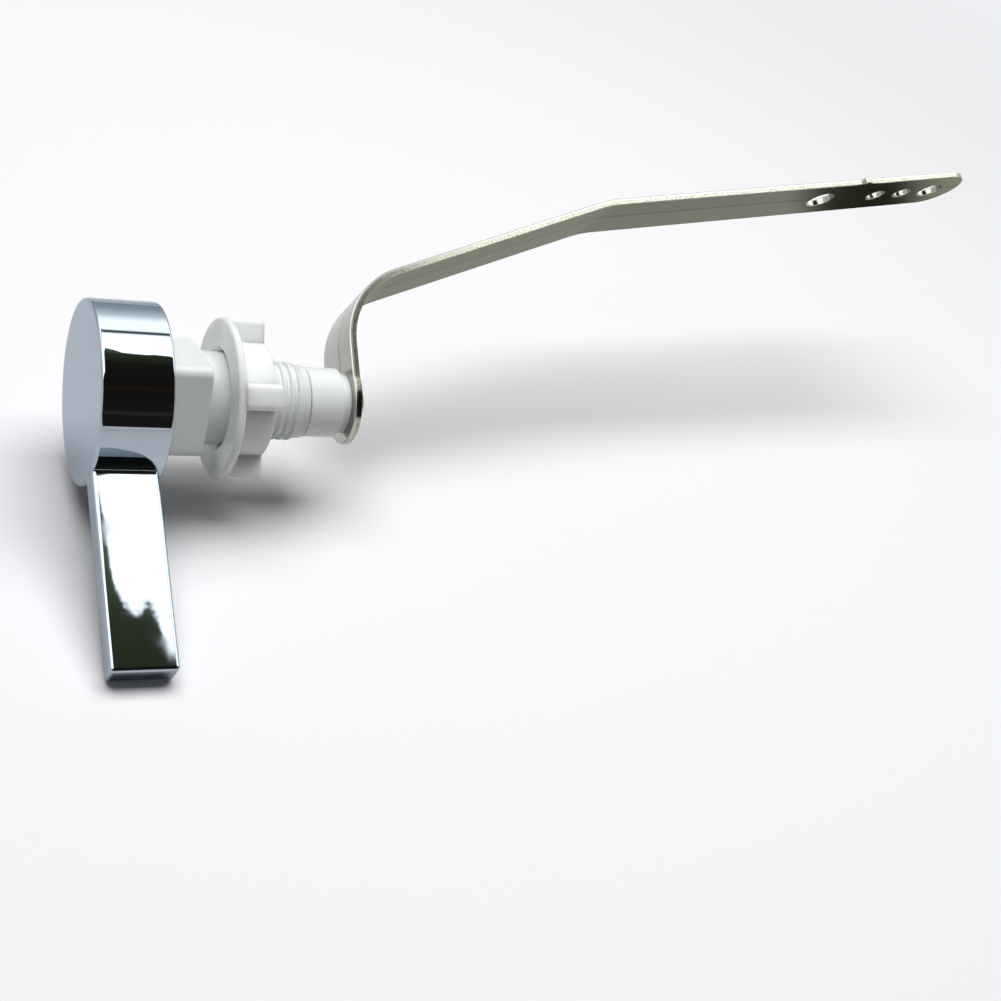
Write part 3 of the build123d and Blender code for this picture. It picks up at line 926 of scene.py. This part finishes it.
# %% [markdown]
# Chrome shows what is round it, so the room matters as much as the plate. A tube about the lever, open
# below, glows with painted reflections of that room: a bright sky overhead, a grey band towards the
# back, and the dark side where the camera stands, with a ragged line of trees between. A grey-green
# sheet under the arm is painted shade: the shaded table that the steel strip's lower faces reflect,
# with a painted dark shadow across it under the arm's tip. Only reflections see either of them, so
# they cast no light or shadow.

# %% Room for the reflections
ROOM_RADIUS = 1500
ROOM_HALF_LENGTH = 3000.0
ROOM_STRENGTH = 2.75
LEAF_SIZE = 5  # mm
LEAF_DEGREES = 0.9  # how far leaves reach past the line of the tops
EDGE_DEGREES = (0.25, 0.65)  # past that line, where the sky starts to pass into the ground and ends
UNDER_ARM_SHADE_REACH = 500  # mm along X that the cloth's ramp covers
TREE_TOPS = (  # mm along X, and degrees from +Y towards +Z
    (-380, 132), (-300, 107), (0, 106), (250, 103.5), (327.4, 101), (328.6, 106), (340, 107.2),
    (348, 107.9), (358, 108.5), (369, 108.6), (375, 107.9), (380, 107.8), (386, 108.7), (399, 110.8),
    (520, 111), (548, 84), (650, 84), (690, 119), (1000, 124))
SKY_STOPS = (  # degrees from +Y towards +Z, and the colour there
    (-40, "#6f7377"), (14, "#6f7377"), (33, "#84888b"), (48, "#b0b3b4"), (60, "#f4f6f6"),
    (75.6, "#f4f6f6"), (77.4, "#3f4443"), (80.4, "#3f4443"), (82.2, "#ffffff"), (260, "#ffffff"))
# Painted shade under the arm, seen in the strip's lower faces, with a painted dark shadow near its tip.
UNDER_ARM_SHADE_STOPS = (  # mm along X
    (60, "#a6ab9d"), (203, "#a6ab9d"), (216, "#333325"), (246, "#26261a"), (256, "#8b8c7b"),
    (268, "#b4b5a2"), (480, "#b4b5a2"))
GROUND_STOPS = (
    (-40, "#44523f"), (104, "#44523f"), (110, "#262b1c"), (122, "#14130f"), (145, "#0f0d0b"),
    (152, "#1c130d"), (156, "#100e0c"), (178, "#131312"), (181, "#26241f"), (184, "#131312"),
    (260, "#111111"))


def only_for_gloss(sheet):
    """Hide a stage sheet from every ray but those of gloss."""
    for ray in ("camera", "diffuse", "shadow", "transmission", "volume_scatter"):
        setattr(sheet, "visible_" + ray, False)


def ramp_of(tree, value, stops, low, high):
    """Ramp over stops of a place and a colour or a number, with the places counted from low to high."""
    ramp = put(tree, "ShaderNodeValToRGB", {"Fac": value})
    for place, colour in stops:
        shade = linear(colour) if isinstance(colour, str) else (colour, colour, colour, 1)
        ramp.color_ramp.elements.new((place - low) / (high - low)).color = shade
    ramp.color_ramp.elements.remove(ramp.color_ramp.elements[0])
    ramp.color_ramp.elements.remove(ramp.color_ramp.elements[-1])
    return ramp.outputs[0]


def room_glow():
    """Sky above the tree tops and dark ground below, both by the angle about the X axis.

    The share of a turn is 1/2 - atan2(y, z) / 360 degrees, which is (angle from +Y + 90) / 360. The
    tops are a share of the same turn that depends on x, made ragged by noise.
    """
    finish, tree = new_finish("room_glow")
    place = put(tree, "ShaderNodeTexCoord", {}).outputs["Object"]
    part = put(tree, "ShaderNodeSeparateXYZ", {"Vector": place})
    angle = put(tree, "ShaderNodeMath", {0: part.outputs["Y"], 1: part.outputs["Z"]}, operation="ARCTAN2")
    share = put(tree, "ShaderNodeMath", {
        0: angle.outputs[0], 1: -0.5 / pi, 2: 0.5}, operation="MULTIPLY_ADD").outputs[0]
    reach = put(tree, "ShaderNodeMapRange", {
        "Value": part.outputs["X"],
        "From Min": -ROOM_RADIUS * MM, "From Max": ROOM_RADIUS * MM}).outputs["Result"]
    tops = ramp_of(
        tree, reach, [(x, (degrees + 90) / 360) for x, degrees in TREE_TOPS], -ROOM_RADIUS, ROOM_RADIUS)
    leaves = put(tree, "ShaderNodeTexNoise", {
        "Vector": place, "Scale": 1 / (LEAF_SIZE * MM), "Detail": 3.0})
    ragged = put(tree, "ShaderNodeMath", {
        0: leaves.outputs["Fac"], 1: LEAF_DEGREES / 360, 2: tops}, operation="MULTIPLY_ADD").outputs[0]
    past = put(tree, "ShaderNodeMath", {0: share, 1: ragged}, operation="SUBTRACT").outputs[0]
    below = put(tree, "ShaderNodeMapRange", {
        "Value": past,
        "From Min": EDGE_DEGREES[0] / 360, "From Max": EDGE_DEGREES[1] / 360}).outputs["Result"]
    sky = ramp_of(tree, share, SKY_STOPS, -90, 270)
    ground = ramp_of(tree, share, GROUND_STOPS, -90, 270)
    view = put(tree, "ShaderNodeMix", {0: below, 6: sky, 7: ground}, data_type="RGBA")
    surface(tree, put(tree, "ShaderNodeEmission", {"Color": view.outputs[2], "Strength": ROOM_STRENGTH}))
    return finish


def make_room():
    """Tube about the X axis, open below, that glows with painted reflections of a room."""
    turn = np.radians(np.linspace(SKY_STOPS[0][0], SKY_STOPS[-1][0], 181))
    x = np.array([-ROOM_HALF_LENGTH, ROOM_HALF_LENGTH])
    points = np.stack(np.broadcast_arrays(
        x, ROOM_RADIUS * np.cos(turn)[:, None], ROOM_RADIUS * np.sin(turn)[:, None]), -1).reshape(-1, 3)
    mesh = bpy.data.meshes.new("room")
    mesh.from_pydata((points * MM).tolist(), [], grid_quads(len(turn), 2, wrap_columns=False).tolist())
    mesh.materials.append(room_glow())
    room = bpy.data.objects.new("room", mesh)
    bpy.context.scene.collection.objects.link(room)
    only_for_gloss(room)


def painted_shade_under_arm():
    """Painted reflection of shaded table: grey-green glow, with a painted dark shadow under the arm's tip.
    """
    finish, tree = new_finish("painted_shade_under_arm")
    place = put(tree, "ShaderNodeTexCoord", {}).outputs["Object"]
    part = put(tree, "ShaderNodeSeparateXYZ", {"Vector": place})
    reach = put(tree, "ShaderNodeMapRange", {
        "Value": part.outputs["X"], "From Min": 0, "From Max": UNDER_ARM_SHADE_REACH * MM}).outputs["Result"]
    shade = ramp_of(tree, reach, UNDER_ARM_SHADE_STOPS, 0, UNDER_ARM_SHADE_REACH)
    surface(tree, put(tree, "ShaderNodeEmission", {"Color": shade, "Strength": 1.0}))
    return finish


make_room()
# A sheet of painted shade under the arm, seen only in reflections.
painted_shade_sheet = stage_sheet("painted_shade_sheet", low=(60, 20), high=(480, 320), height=1, finish=painted_shade_under_arm())
only_for_gloss(painted_shade_sheet)
print("room", len(SKY_STOPS) + len(GROUND_STOPS), "stops, and a cloth under the arm")

# %% [markdown]
# The look of the picture is left plain: the Standard view shows colours about as they are written.

# %% Finish
bpy.context.scene.view_settings.view_transform = "Standard"
